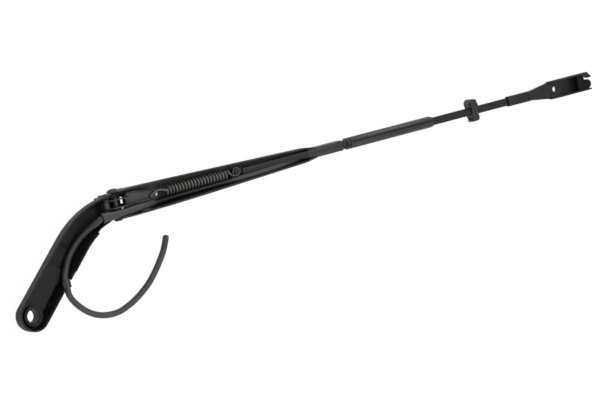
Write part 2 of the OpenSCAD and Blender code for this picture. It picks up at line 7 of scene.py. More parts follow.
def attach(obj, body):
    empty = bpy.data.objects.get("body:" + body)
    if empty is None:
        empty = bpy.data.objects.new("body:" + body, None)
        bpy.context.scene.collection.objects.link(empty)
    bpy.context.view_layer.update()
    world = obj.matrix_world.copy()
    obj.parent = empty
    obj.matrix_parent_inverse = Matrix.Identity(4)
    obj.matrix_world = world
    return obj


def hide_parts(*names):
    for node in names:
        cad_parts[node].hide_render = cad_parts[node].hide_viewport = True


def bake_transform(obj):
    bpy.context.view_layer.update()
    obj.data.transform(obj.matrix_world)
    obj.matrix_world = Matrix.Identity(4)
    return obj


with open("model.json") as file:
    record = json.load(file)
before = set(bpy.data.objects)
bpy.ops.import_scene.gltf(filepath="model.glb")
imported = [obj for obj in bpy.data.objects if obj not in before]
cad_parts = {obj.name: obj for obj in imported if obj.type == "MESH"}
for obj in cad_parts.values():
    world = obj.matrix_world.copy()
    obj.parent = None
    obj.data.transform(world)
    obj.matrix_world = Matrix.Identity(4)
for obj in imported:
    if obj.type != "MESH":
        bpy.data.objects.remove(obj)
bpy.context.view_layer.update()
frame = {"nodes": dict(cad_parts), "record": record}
nodes = frame["nodes"]
behaviour = frame["record"]["behaviour"]
bodyOf = {name: body for body, names in behaviour["bodies"].items() for name in names}
hinge = Vector(behaviour["joints"][0]["pos_m"])
spindleRadius = frame["record"]["mounts"][0]["dims"]["r_mm"]
mm = 0.001


def deselectAll():
    if bpy.context.object and bpy.context.object.mode != "OBJECT":
        bpy.ops.object.mode_set(mode="OBJECT")
    bpy.ops.object.select_all(action="DESELECT")


def pick(obj):
    deselectAll()
    obj.select_set(True)
    bpy.context.view_layer.objects.active = obj


def applyModifier(obj, kind, **settings):
    pick(obj)
    modifier = obj.modifiers.new(kind.title(), kind)
    for key, value in settings.items():
        setattr(modifier, key, value)
    bpy.ops.object.modifier_apply(modifier=modifier.name)


def bevelEdges(obj, width, segments=2, sharper=30):
    applyModifier(obj, "BEVEL", width=width, segments=segments,
                  limit_method="ANGLE", angle_limit=math.radians(sharper))


def shadeByAngle(obj, degrees=40):
    pick(obj)
    bpy.ops.object.shade_smooth_by_angle(angle=math.radians(degrees))


def finishPiece(obj, finish, body, slot, *stoodFor):
    obj.data.materials.clear()
    obj.data.materials.append(finish)
    if body:
        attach(obj, body)
    if stoodFor:
        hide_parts(*stoodFor)


# The camera's own axes, as directions in the arm's frame, and its place
cameraPlace = {
    "x": (0.83978, -0.21025, 0.50057),
    "y": (0.22715, 0.97346, 0.02779),
    "z": (-0.49313, 0.09037, 0.86525),
    "at": (-1.59838, 0.40454, 3.42703),
    "lens": 210,
    "sensor": 36,
    "reach": 30,
}
cameraData = bpy.data.cameras.new("camera")
cameraData.lens = cameraPlace["lens"]
cameraData.sensor_width = cameraPlace["sensor"]
cameraData.clip_end = cameraPlace["reach"]
camera = bpy.data.objects.new("camera", cameraData)
bpy.context.scene.collection.objects.link(camera)
axes = Matrix((cameraPlace["x"], cameraPlace["y"], cameraPlace["z"])).transposed()
camera.matrix_world = Matrix.Translation(cameraPlace["at"]) @ axes.to_4x4()
bpy.context.scene.camera = camera
bpy.context.scene.view_settings.view_transform = "Standard"
print("camera placed")


# Maths on sockets, so that a pattern reads as an expression
class Sock:
    def __init__(self, shading, socket):
        self.shading = shading
        self.socket = socket

    def maths(self, operation, other):
        return self.shading.add("ShaderNodeMath", {"operation": operation}, {0: self, 1: other})

    def __add__(self, other):
        return self.maths("ADD", other)

    def __radd__(self, other):
        return self.maths("ADD", other)

    def __sub__(self, other):
        return self.maths("SUBTRACT", other)

    def __rsub__(self, other):
        return self * -1 + other

    def __mul__(self, other):
        return self.maths("MULTIPLY", other)

    def __rmul__(self, other):
        return self.maths("MULTIPLY", other)

    def __truediv__(self, other):
        return self.maths("DIVIDE", other)


# One method adds any node, in a material's tree or the world's
class Shading:
    def __init__(self, tree):
        self.tree = tree

    def add(self, kind, settings=None, values=None, out=0):
        made = self.tree.nodes.new(kind)
        for key, value in (settings or {}).items():
            if key == "stops":        # the first two are the ramp's own
                for i, (at, level) in enumerate(value):
                    stop = made.color_ramp.elements[i] if i < 2 else made.color_ramp.elements.new(at)
                    stop.position = at
                    stop.color = (level, level, level, 1)
            else:
                setattr(made, key, value)
        for key, value in (values or {}).items():
            self.feed(made.inputs[key], value)
        return Sock(self, made.outputs[out]) if len(made.outputs) else made

    def feed(self, socket, value):
        if isinstance(value, Sock):
            self.tree.links.new(value.socket, socket)
        else:
            socket.default_value = value

    def seenRays(self):        # 1 for what the camera, a mirror or glass sees
        camera = self.add("ShaderNodeLightPath", out="Is Camera Ray")
        outputs = camera.socket.node.outputs
        mirror = Sock(self, outputs["Is Glossy Ray"])
        glass = Sock(self, outputs["Is Transmission Ray"])
        return camera.maths("MAXIMUM", mirror).maths("MAXIMUM", glass)


class Finish(Shading):
    def __init__(self, name):
        self.material = bpy.data.materials.new(name)
        self.material.use_nodes = True
        super().__init__(self.material.node_tree)
        self.tree.nodes.clear()
        self.surface = self.add("ShaderNodeBsdfPrincipled")
        self.end = self.add("ShaderNodeOutputMaterial", None, {"Surface": self.surface})
        self.place = self.add("ShaderNodeTexCoord", out="Object")

    def set(self, **values):
        for key, value in values.items():
            self.feed(self.surface.socket.node.inputs[key.replace("_", " ")], value)

    def noise(self, scale, detail, where=None):
        values = {"Vector": where or self.place, "Scale": scale, "Detail": detail, "Roughness": 0.55}
        return self.add("ShaderNodeTexNoise", None, values)

    def stretched(self, scale):
        return self.add("ShaderNodeMapping", None, {"Vector": self.place, "Scale": scale}, "Vector")

    def ramp(self, value, *stops):
        return self.add("ShaderNodeValToRGB", {"stops": stops}, {"Fac": value}, "Color")

    def specks(self, scale):
        cells = self.add("ShaderNodeTexVoronoi", {"feature": "F1"}, {"Vector": self.place, "Scale": scale})
        return self.ramp(cells, (0.0, 1), (0.09, 0))

    def between(self, mask, dark, light):
        dark, light = [c if isinstance(c, Sock) else (*c, 1) for c in (dark, light)]
        return self.add("ShaderNodeMix", {"data_type": "RGBA"}, {0: mask, 6: dark, 7: light}, 2)

    def bump(self, height, distance):
        values = {"Height": height, "Distance": distance, "Strength": 1.0}
        return self.add("ShaderNodeBump", None, values, "Normal")

    def alongArm(self, cloud, band):        # a ramp over a stretch of the arm, its edges clouded
        x = self.add("ShaderNodeSeparateXYZ", None, {0: self.place}, "X")
        return self.ramp((x - band["from"]) / band["span"] + cloud * 0.04 - 0.02, *band["stops"])


# Satin black paint: soft mottling, fine orange peel and a few dust specks
def blackPaint(name, settings):
    finish = Finish(name)
    mottle = finish.noise(settings["mottle"], 4)
    peel = finish.noise(settings["peel"], 2)
    specks = finish.specks(settings["specks"])
    dark, light = [[settings["level"] * share * c for c in (1, 1, 1.03)] for share in (0.72, 1.5)]
    finish.set(
        Base_Color=finish.between(mottle * 0.7 + specks * 0.35, dark, light),
        Roughness=mottle * 0.16 + (settings["rough"] - 0.08) + specks * 0.1,
        Specular_IOR_Level=settings["gloss"],
        Normal=finish.bump(peel + specks * 0.4, settings["bump"]))
    return finish.material


paintOf = {
    "head": {"level": 0.0125, "rough": 0.5, "gloss": 0.16,
             "mottle": 42, "peel": 620, "specks": 260, "bump": 0.00012},
    "channel": {"level": 0.0145, "rough": 0.42, "gloss": 0.42,
                "mottle": 36, "peel": 900, "specks": 200, "bump": 0.00006},
    "bar": {"level": 0.0062, "rough": 0.46, "gloss": 0.3,
            "mottle": 55, "peel": 700, "specks": 420, "bump": 0.0001},
    "ramp": {"level": 0.0095, "rough": 0.44, "gloss": 0.36,
             "mottle": 45, "peel": 800, "specks": 300, "bump": 0.00008},
    "fitting": {"level": 0.0048, "rough": 0.42, "gloss": 0.3,
                "mottle": 60, "peel": 900, "specks": 300, "bump": 0.00006},
    "rivet": {"level": 0.012, "rough": 0.36, "gloss": 0.5,
              "mottle": 120, "peel": 900, "specks": 500, "bump": 0.00005},
}
paint = {key: blackPaint(key + "Paint", value) for key, value in paintOf.items()}


# Metal: drawn or blasted, with a film of oil; the link gets painted shade at its hinge end and in a band by
# the spring's hook hole
def metal(name, settings):
    finish = Finish(name)
    cloud = finish.noise(settings["cloud"], 4)
    grain = finish.noise(1, 2, finish.stretched(settings["grain"]))
    colour = finish.between(cloud, settings["dark"], settings["light"])
    metallic = settings["metallic"]
    # painted shade along the arm: near-black and less metallic where the ramp is low
    if "rubbed" in settings:
        linkLit = finish.alongArm(cloud, settings["rubbed"])
        colour = finish.between(linkLit, settings["rubbed"]["soot"], colour)
        metallic = linkLit * metallic
    finish.set(
        Base_Color=colour,
        Roughness=cloud * 0.18 + grain * 0.12 + (settings["rough"] - 0.15),
        Metallic=metallic,
        Normal=finish.bump(grain, settings["bump"]))
    return finish.material


metalOf = {
    "spring": {"dark": (0.06, 0.056, 0.051), "light": (0.15, 0.14, 0.127), "rough": 0.48, "metallic": 0.45,
               "cloud": 260, "grain": (900, 1400, 1400), "bump": 0.00003},
    "zinc": {"dark": (0.05, 0.05, 0.05), "light": (0.1, 0.1, 0.098), "rough": 0.5, "metallic": 0.6,
             "cloud": 200, "grain": (1800, 300, 1800), "bump": 0.00002},
    # pale bare steel, lighter than the other metals: partly the seat's own colour, partly a painted highlight
    "bare": {"dark": (0.2, 0.2, 0.19), "light": (0.34, 0.34, 0.33), "rough": 0.4, "metallic": 0.7,
             "cloud": 300, "grain": (900, 900, 900), "bump": 0.00001},
    "jet": {"dark": (0.05, 0.05, 0.05), "light": (0.09, 0.09, 0.088), "rough": 0.3, "metallic": 0.9,
            "cloud": 300, "grain": (1500, 1500, 1500), "bump": 0.00001},
    "link": {"dark": (0.036, 0.035, 0.033), "light": (0.054, 0.052, 0.049), "rough": 0.45, "metallic": 0.55,
             "cloud": 180, "grain": (500, 1800, 1800), "bump": 0.00003,
             # painted shade on the link: near-black at the hinge end, a darker band by the hook hole
             "rubbed": {"from": 0.131, "span": 0.05, "soot": (0.008, 0.008, 0.008),
                        "stops": ((0.0, 0.0), (1.0, 0.9), (0.2, 0.1), (0.27, 1.0), (0.52, 0.95),
                                  (0.6, 0.35), (0.67, 0.4), (0.76, 1.0))}},
}
steel = {key: metal(key + "Steel", value) for key, value in metalOf.items()}


# Moulded plastic and rubber: fine matt grain; the held hose gets painted shade along the spring, where the
# spring and the channel's wall shade it
def moulded(name, settings):
    finish = Finish(name)
    cloud = finish.noise(settings["cloud"], 3)
    grain = finish.noise(settings["grain"], 2)
    colour = finish.between(cloud, settings["dark"], settings["light"])
    # painted shade: the held hose darkens along the stretch under the spring
    if "oil" in settings:
        hoseLit = finish.alongArm(cloud, settings["oil"])
        colour = finish.between(hoseLit, settings["oil"]["colour"], colour)
    finish.set(
        Base_Color=colour,
        Roughness=cloud * 0.12 + grain * 0.1 + (settings["rough"] - 0.11),
        Specular_IOR_Level=settings.get("gloss", 0.4),
        Normal=finish.bump(grain, settings["bump"]))
    return finish.material


hoseRubber = {"dark": (0.03, 0.03, 0.032), "light": (0.052, 0.052, 0.054), "rough": 0.46,
              "cloud": 60, "grain": 1500, "bump": 0.00003}
# painted shade on the held hose, near-black along the spring's length
underSpringShade = {"from": 0.16, "span": 0.15, "colour": (0.006, 0.006, 0.006),
             "stops": ((0.0, 1.0), (1.0, 1.0), (0.12, 0.1), (0.72, 0.12), (0.86, 0.9))}
mouldedOf = {
    "hose": hoseRubber,
    # the held hose, with painted shade under the spring
    "oiledHose": {**hoseRubber, "oil": underSpringShade},
    "guide": {"dark": (0.034, 0.034, 0.035), "light": (0.052, 0.052, 0.053), "rough": 0.5,
              "cloud": 70, "grain": 1200, "bump": 0.00004},
    "cover": {"dark": (0.009, 0.0094, 0.0097), "light": (0.016, 0.0164, 0.0168), "rough": 0.36, "gloss": 0.42,
              "cloud": 50, "grain": 1300, "bump": 0.00005},
    "clip": {"dark": (0.005, 0.005, 0.0052), "light": (0.009, 0.009, 0.0095), "rough": 0.42,
             "cloud": 80, "grain": 1300, "bump": 0.00005},
    # near-black, darker than the other plastics: painted shade for the tongue deep in the tip
    "tongue": {"dark": (0.003, 0.003, 0.0032), "light": (0.009, 0.009, 0.0092), "rough": 0.62, "gloss": 0.12,
               "cloud": 80, "grain": 1300, "bump": 0.00005},
    "washer": {"dark": (0.5, 0.5, 0.48), "light": (0.66, 0.66, 0.64), "rough": 0.45,
               "cloud": 200, "grain": 1500, "bump": 0.00002},
    "cradle": {"dark": (0.016, 0.016, 0.017), "light": (0.028, 0.028, 0.03), "rough": 0.5,
               "cloud": 90, "grain": 1200, "bump": 0.00004},
}
plastic = {key: moulded(key + "Plastic", value) for key, value in mouldedOf.items()}
print("finishes made")


# The hose, as the points it passes through, in metres
hoseSize = {"radius": 0.0035, "roundness": 6, "steps": 6, "tip": 0.0032}
freeRoute = [(0.1862, 0.0464, -0.01445), (0.1788, 0.0309, -0.01445), (0.1672, 0.0153, -0.01445),
             (0.1549, 0.0022, -0.01445), (0.1438, -0.0065, -0.01445), (0.1317, -0.0138, -0.01445),
             (0.1202, -0.0188, -0.01445), (0.1087, -0.0221, -0.01445), (0.0952, -0.0222, -0.01435),
             (0.0828, -0.0192, -0.01375), (0.0710, -0.0130, -0.0120), (0.0600, -0.0042, -0.0082),
             (0.0520, 0.0046, -0.0044), (0.0477, 0.0114, -0.0015)]
heldRoute = [(0.0466, 0.0170, -0.0004), (0.0466, 0.0230, -0.0004), (0.0466, 0.0290, -0.0004),
             (0.0471, 0.0332, -0.0010), (0.0528, 0.0412, -0.0048), (0.0585, 0.0489, -0.0080),
             (0.0668, 0.0577, -0.0094), (0.0768, 0.0669, -0.0082), (0.0866, 0.0740, -0.0046),
             (0.0940, 0.0791, 0.0004), (0.0985, 0.0822, 0.0038), (0.1030, 0.0844, 0.0056),
             (0.1180, 0.0847, 0.0058), (0.1310, 0.0850, 0.0050), (0.1450, 0.0852, 0.0030),
             (0.1600, 0.0856, -0.0008), (0.1750, 0.0856, -0.0056), (0.1910, 0.0858, -0.0100),
             (0.2070, 0.0861, -0.0124), (0.2310, 0.0864, -0.0124), (0.2510, 0.0868, -0.0116),
             (0.2670, 0.0871, -0.0090), (0.2810, 0.0874, -0.0066), (0.2970, 0.0877, -0.0056),
             (0.3110, 0.0880, -0.0056), (0.3290, 0.0887, -0.0062), (0.3450, 0.0896, -0.0076),
             (0.3590, 0.0905, -0.0100), (0.3710, 0.0917, -0.0120), (0.3790, 0.0929, -0.0126),
             (0.3910, 0.0940, -0.0126)]
backRoute = [(0.4270, 0.0940, -0.0126), (0.6070, 0.0940, -0.0126)]


def smoothRoute(points, steps):
    points = [Vector(p) for p in points]
    last = len(points) - 1
    out = []
    for i in range(last):
        a, b, c, d = points[max(i - 1, 0)], points[i], points[i + 1], points[min(i + 2, last)]
        for j in range(steps):
            t = j / steps
            out.append(0.5 * (2 * b + (c - a) * t + (2 * a - 5 * b + 4 * c - d) * t * t
                              + (3 * b - a - 3 * c + d) * t ** 3))
    return out + [points[-1]]


# A round wire along points; shares are of its radius, for the first of them
def roundWire(name, points, radius, roundness, shares=()):
    curve = bpy.data.curves.new(name, "CURVE")
    curve.dimensions = "3D"
    curve.bevel_depth = radius
    curve.bevel_resolution = roundness
    curve.use_fill_caps = True
    line = curve.splines.new("POLY")
    line.points.add(len(points) - 1)
    for spot, p in zip(line.points, points):
        spot.co = (*p, 1)
    for spot, share in zip(line.points, shares):
        spot.radius = share
    obj = bpy.data.objects.new(name, curve)
    bpy.context.scene.collection.objects.link(obj)
    pick(obj)
    bpy.ops.object.convert(target="MESH")
    bpy.ops.object.mode_set(mode="EDIT")
    bpy.ops.mesh.select_all(action="SELECT")
    bpy.ops.mesh.remove_doubles(threshold=1e-6)
    bpy.ops.mesh.normals_make_consistent(inside=False)
    shadeByAngle(obj)
    return obj


wholeRoute = smoothRoute(freeRoute + heldRoute, hoseSize["steps"])
leaves = hoseSize["steps"] * len(freeRoute)
freeLine = wholeRoute[:leaves + 1]
heldLine = wholeRoute[leaves:] + [Vector(p) for p in backRoute]
freeLength = sum((b - a).length for a, b in zip(freeLine, freeLine[1:]))

# The free end is rounded over its last millimetres: how far in, and the share of the radius there
tipRings = ((0.0, 0.3), (0.00025, 0.6), (0.0007, 0.82), (0.0014, 0.94), (0.0022, 0.99))
tipEnd = freeLine[0]
inward = (freeLine[1] - tipEnd).normalized()
freeLine = [p for p in freeLine if (p - tipEnd).length > hoseSize["tip"]]
freeLine = [tipEnd + inward * at for at, share in tipRings] + freeLine
tipShares = [share for at, share in tipRings]

freeHose = roundWire("freeHose", freeLine, hoseSize["radius"], hoseSize["roundness"], tipShares)
finishPiece(freeHose, plastic["hose"], "head", "hose_rubber", "hose_free")

heldHose = roundWire("heldHose", heldLine, hoseSize["radius"], hoseSize["roundness"])
finishPiece(heldHose, plastic["oiledHose"], None, "hose_rubber", "hose_head", "hose_bend", "hose_arm")
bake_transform(heldHose)
print("hose laid, free length", round(freeLength, 4))


# Places in millimetres: along the arm from the hinge, to its side and up
def fromHinge(u, side, level):
    return Vector((hinge.x + u * mm, hinge.y + side * mm, level * mm))


# The same along the head's leg, from the spindle
def onLeg(along, side, level):
    slant = math.sqrt(0.5)
    return Vector(((along - side) * slant * mm, (along + side) * slant * mm, level * mm))


# A closed outline, filled and drawn out by one extrusion
def drawnOut(name, outline, way):
    deselectAll()
    bpy.ops.mesh.primitive_circle_add(vertices=len(outline), radius=mm, fill_type="NGON")
    obj = bpy.context.object
    obj.name = name
    for vertex, place in zip(obj.data.vertices, outline):
        vertex.co = place
    bpy.ops.object.mode_set(mode="EDIT")
    bpy.ops.mesh.select_all(action="SELECT")
    bpy.ops.mesh.extrude_region_move(TRANSFORM_OT_translate={"value": way})
    bpy.ops.mesh.select_all(action="SELECT")
    bpy.ops.mesh.normals_make_consistent(inside=False)
    bpy.ops.object.mode_set(mode="OBJECT")
    return obj


# Outlines seen from above, from the side and along the arm, in millimetres
def planBlock(name, outline, level, height):
    return drawnOut(name, [fromHinge(u, side, level) for u, side in outline], (0, 0, height * mm))


def sideBlock(name, outline, side, width):
    return drawnOut(name, [fromHinge(u, side, level) for u, level in outline], (0, width * mm, 0))


def endBlock(name, outline, u, length):
    return drawnOut(name, [fromHinge(u, side, level) for side, level in outline], (length * mm, 0, 0))


def circle(radius, x, y, count):
    turns = [2 * math.pi * i / count for i in range(count)]
    return [(x + radius * math.cos(a), y + radius * math.sin(a)) for a in turns]


# A round block on the spindle's axis
def roundBlock(name, radius, low, high, flare=0.0):
    deselectAll()
    bpy.ops.mesh.primitive_cone_add(vertices=96, radius1=radius * mm, radius2=(radius + flare) * mm,
                                    depth=(high - low) * mm, location=(0, 0, (low + high) / 2 * mm))
    obj = bpy.context.object
    obj.name = name
    bpy.ops.object.transform_apply(location=True, rotation=True, scale=True)
    return obj


def joinAll(obj, *others):
    deselectAll()
    for other in (obj, *others):
        other.select_set(True)
    bpy.context.view_layer.objects.active = obj
    bpy.ops.object.join()
    return obj


def cut(obj, cutter):
    applyModifier(obj, "BOOLEAN", object=cutter, operation="DIFFERENCE", solver="EXACT")
    bpy.data.objects.remove(cutter, do_unlink=True)


# Joined blocks become one casting or moulding, with soft inner corners
def castTogether(obj, voxel, rounds, share):
    applyModifier(obj, "REMESH", mode="VOXEL", voxel_size=voxel, adaptivity=0)
    applyModifier(obj, "SMOOTH", factor=share, iterations=rounds)


def copyOf(node, name):
    obj = bpy.data.objects.new(name, nodes[node].data.copy())
    bpy.context.scene.collection.objects.link(obj)
    pick(obj)
    bpy.ops.object.mode_set(mode="EDIT")
    bpy.ops.mesh.select_all(action="SELECT")
    bpy.ops.mesh.remove_doubles(threshold=2e-6)
    bpy.ops.object.mode_set(mode="OBJECT")
    return obj


# Head: one casting, so its land, lugs and walls run into each other with soft fillets
castSettings = {
    "voxel": 0.0006, "rounds": 9, "share": 0.6, "keep": 0.5,
    "fills": (        # levels, then along and side: the land runs to the left wall, and the right
        ((-12, -5.7), ((0, 6), (56, 4), (58, 8), (57, 15.3), (0, 15.3))),
        ((-16, -5.9), ((4, -8.5), (50, -7.5), (55, -3), (56, 6), (0, 8)))),
    "slopes": (       # sides, then along and level: the land falls to the bend's floor
        ((-2.5, 14.6), ((44, -16), (44, -5.55), (60, -5.75), (66, -8.2), (72, -10), (80, -11.2),
                        (86, -13), (91.5, -15.9))),
        ((-10, -2.5), ((44, -16), (44, -5.9), (55, -6.4), (60, -8.4), (68, -11), (76, -12.8),
                       (90, -15), (94, -16)))),
    "ears": (         # levels, then along and side from the hinge: the walls run out to the lugs
        ((-17, 2.8), ((-22, 8.6), (-22, 9.8), (-14, 12.2), (-7.5, 14.2), (-7.5, 11.6))),
        ((-16.5, -2.7), ((-14, -16.2), (-14, -14), (-7.5, -12.8), (-7.5, -15.1)))),
    "ring": {"radius": 15.2, "low": -12, "high": -8.5},
    "plug": {"radius": 8.5, "low": -15.7, "high": -0.2},
    "bore": {"low": -30, "high": 10},
    "flare": {"low": -1.1, "high": 0.3, "flare": 1.4},
}


def castHead():
    s = castSettings
    obj = copyOf("head", "castHead")
    fills = []
    for (low, high), outline in s["fills"]:
        places = [onLeg(a, side, low) for a, side in outline]
        fills.append(drawnOut("fill", places, (0, 0, (high - low) * mm)))
    across = onLeg(0, 1, 0).normalized() * mm
    for (right, left), outline in s["slopes"]:
        fills.append(drawnOut("slope", [onLeg(a, right, z) for a, z in outline], across * (left - right)))
    for (low, high), outline in s["ears"]:
        fills.append(planBlock("ear", outline, low, high - low))
    fills.append(roundBlock("ring", **s["ring"]))
    joinAll(obj, roundBlock("plug", **s["plug"]), *fills)
    castTogether(obj, s["voxel"], s["rounds"], s["share"])
    applyModifier(obj, "DECIMATE", ratio=s["keep"])
    cut(obj, roundBlock("bore", spindleRadius, **s["bore"]))
    cut(obj, roundBlock("flare", spindleRadius, **s["flare"]))
    shadeByAngle(obj)
    finishPiece(obj, paint["head"], "head", "black_paint_head", "head")


castHead()
print("head cast")


# Link: two cheeks over the hinge bush, and a plate that the spring hooks into
linkSettings = {
    "thick": 1.6, "voxel": 0.00035, "rounds": 3, "share": 0.5, "keep": 0.4,
    "cheeks": ((-3.4, False), (5.5, True)),        # side, and whether it stops short
    "beyond": ((10.2, -12), (40, -12), (40, 12), (10.2, 12)),
    "eye": {"radius": 5.5, "u": -15, "level": -3},
    "outline": [(-12, 7.4), (-9, 8.4), (6, 8.4), (19, 1.4), (38, 0), (38, -5.2), (5, -5), (-11, -6.8)],
    "holes": ({"radius": 3.6, "x": -15, "y": -3}, {"radius": 8.6, "x": 0.6, "y": -3.6}),
    "mouth": ((-8.5, -13), (9.2, -13), (9.2, -3.4), (-8.5, -3.4)),
    "through": {"before": 2, "width": 6},
    "plateLevel": -5.2, "turnedHeight": 4,
    "plate": ((9.4, -3.4), (9.4, 6.5), (11, 10.4), (20, 10.4), (37, 7.2), (44, 5.8), (48, 5.8), (51, 4),
              (51, 0), (48, -1.8), (43, -2.6), (37, -3.4)),
    "turned": ((9, 5.6), (10.6, 10.6), (20, 10.6), (38, 7.4), (38, 6.2), (20, 9.3), (11.6, 9.3), (10.2, 5.6)),
    "hookHole": {"radius": 1.9, "x": 39.6, "y": -0.3},
}


def pressedLink():
    s = linkSettings
    middle, radius = s["eye"], s["eye"]["radius"]
    turns = [math.radians(a) for a in range(270, 119, -15)]
    eye = [(middle["u"] + radius * math.cos(a), middle["level"] + radius * math.sin(a)) for a in turns]
    pieces = []
    for side, stopsShort in s["cheeks"]:
        cheek = sideBlock("cheek", eye + s["outline"], side, s["thick"])
        cutters = [circle(count=48, **hole) for hole in s["holes"]] + [s["mouth"]]
        if stopsShort:
            cutters.append(s["beyond"])
        for outline in cutters:
            cut(cheek, sideBlock("cutter", outline, side - s["through"]["before"], s["through"]["width"]))
        pieces.append(cheek)
    pieces.append(planBlock("plate", s["plate"], s["plateLevel"], s["thick"]))
    pieces.append(planBlock("turned", s["turned"], s["plateLevel"], s["turnedHeight"]))
    link = joinAll(*pieces)
    link.name = "pressedLink"
    castTogether(link, s["voxel"], s["rounds"], s["share"])
    cut(link, planBlock("hookHole", circle(count=32, **s["hookHole"]), -9, 8))
    applyModifier(link, "DECIMATE", ratio=s["keep"])
    shadeByAngle(link)
    finishPiece(link, steel["link"], "link", "phosphated_steel", "link")


pressedLink()

# The end of the plate, turned up inside the hook: real bare steel, whose pale colour also paints the
# highlight there
seatSettings = {"outline": ((45.8, -1.6), (49.4, -1.2), (49.8, 2.2), (47, 2.6)),
                "level": -3.8, "height": 1.5, "edge": 0.0004}
hookSeat = planBlock("hookSeat", seatSettings["outline"], seatSettings["level"], seatSettings["height"])
bevelEdges(hookSeat, seatSettings["edge"])
finishPiece(hookSeat, steel["bare"], "link", "zinc_steel")
print("link pressed")


# Spring: a hook up through the link's hole, the coil, and an eye round the lug of the bar
springSettings = {
    "wire": 0.0012, "roundness": 4, "side": 2,
    "hook": [(45.4, -2.6, -8.4), (42.2, -2.6, -8.2), (39.9, -2.6, -6.6), (39.4, -2.2, -3.8),
             (40.6, -1.2, -1.5), (43.8, 0.9, 0), (48.5, 2.4, 0.7), (53, 2.3, 1.2), (57, 1.1, 1.5)],
    "turns": 20, "steps": 24, "radius": 4.8, "from": 60, "to": 142, "level": -4.8, "rise": 2.3,
    "lead": ((2.6, -1.8, 3.6), (4.8, -3.2, 1.2)),        # from the coil's end to the eye
    "lug": 154.2, "eye": 4.0, "eyeLevel": -5.7, "tail": (7.6, -1.4),
}


def springLine():
    s = springSettings
    coil = []
    count = s["turns"] * s["steps"]
    for i in range(count + 1):
        angle = math.radians(90 + 360 * i / s["steps"])
        coil.append((s["from"] + (s["to"] - s["from"]) * i / count, s["radius"] * math.cos(angle),
                     s["level"] + s["rise"] * (1 - i / count) + s["radius"] * math.sin(angle)))
    lead = [(s["to"] + u, side, s["level"] + up) for u, side, up in s["lead"]]
    turns = [math.radians(-90 + 270 * i / 18) for i in range(19)]
    eye = [(s["lug"] + s["eye"] * math.cos(a), s["eye"] * math.sin(a), s["eyeLevel"]) for a in turns]
    tail = (s["to"] + s["tail"][0], s["tail"][1], s["eyeLevel"])
    line = smoothRoute(s["hook"] + coil[:1], 6)[:-1] + coil
    line += smoothRoute(coil[-1:] + lead + eye[:1], 6)[1:-1] + eye + [tail]
    return [fromHinge(u, side + s["side"], level) for u, side, level in line]


coilSpring = roundWire("coilSpring", springLine(), springSettings["wire"], springSettings["roundness"])
finishPiece(coilSpring, steel["spring"], "link", "oiled_spring_steel", "spring")
print("spring wound")


# Bar: its root is narrower where the hose runs beside it in the channel
barSettings = {"beside": ((158, -6), (240, -6), (250, -4.6), (238, -2.6), (158, -2.6)),
               "level": -10, "height": 6, "edge": 0.0003}
barSection = ((-4.5, -9), (4.5, -9), (4.5, -5), (-4.5, -5))        # side and level


def rootedBar():
    obj = copyOf("bar", "rootedBar")
    cut(obj, planBlock("beside", barSettings["beside"], barSettings["level"], barSettings["height"]))
    bevelEdges(obj, barSettings["edge"], sharper=32)
    shadeByAngle(obj)
    finishPiece(obj, paint["bar"], "arm", "black_paint_bar", "bar")


rootedBar()

# Folds of the channel: its floor between the ears, and the ramp of its walls up on to the crimp
lipSettings = {
    "outline": ((4.9, -13.4), (19, -13.4), (19, 13.4), (4.9, 13.4)),
    "level": -17.95, "thick": 1.4, "edge": 0.0004,
    "windowSides": ((-1.1, 6), (-7, -5.2)),        # the two openings that show beside the link
    "windowFrom": 9.9, "windowTo": 12.7, "windowLevel": -19, "windowHeight": 4,
}
floorLip = planBlock("floorLip", lipSettings["outline"], lipSettings["level"], lipSettings["thick"])
for low, high in lipSettings["windowSides"]:
    start, stop = lipSettings["windowFrom"], lipSettings["windowTo"]
    outline = ((start, low), (stop, low), (stop, high), (start, high))
    cut(floorLip, planBlock("window", outline, lipSettings["windowLevel"], lipSettings["windowHeight"]))
bevelEdges(floorLip, lipSettings["edge"])
finishPiece(floorLip, paint["channel"], "arm", "black_paint_channel")

rampSettings = {"outline": ((250, -5.05), (261, -5.05), (261, -3.45), (260, -3.5)),
                "side": -4.4, "width": 9.4, "edge": 0.0004}
crimpRamp = sideBlock("crimpRamp", rampSettings["outline"], rampSettings["side"], rampSettings["width"])
bevelEdges(crimpRamp, rampSettings["edge"])
finishPiece(crimpRamp, paint["ramp"], "arm", "black_paint_channel")


# Cover: a crowned tube with a slit, clipped on over hose and bar
coverSettings = {
    "from": 303.6, "length": 118.4, "half": 6.6, "low": -18, "high": -3.4, "power": 2.3, "sides": 64,
    "ring": 3.1, "groove": 4.4,        # the end ring's length, and where the tube starts behind it
    "neckFrom": 1, "neck": 6, "inset": 0.9,
    "slitFrom": 6, "slitSide": 0.5, "slit": 1.1, "slitFlare": 0.4, "slitTop": -3, "slitFoot": -5.4,
    "mouth": 30,
    "corner": ((-3.4, 8), (1, 8), (1, 4.2)),        # from the far end, and to each side
}


def crown(inset=0):
    s = coverSettings
    half, low, high = s["half"] - inset, s["low"] + inset, s["high"] - inset
    mid, tall = (low + high) / 2, (high - low) / 2
    out = []
    for i in range(s["sides"]):
        angle = 2 * math.pi * i / s["sides"]
        c, d = [math.copysign(abs(v) ** (2 / s["power"]), v) for v in (math.cos(angle), math.sin(angle))]
        out.append((half * c, mid + tall * d))
    return out


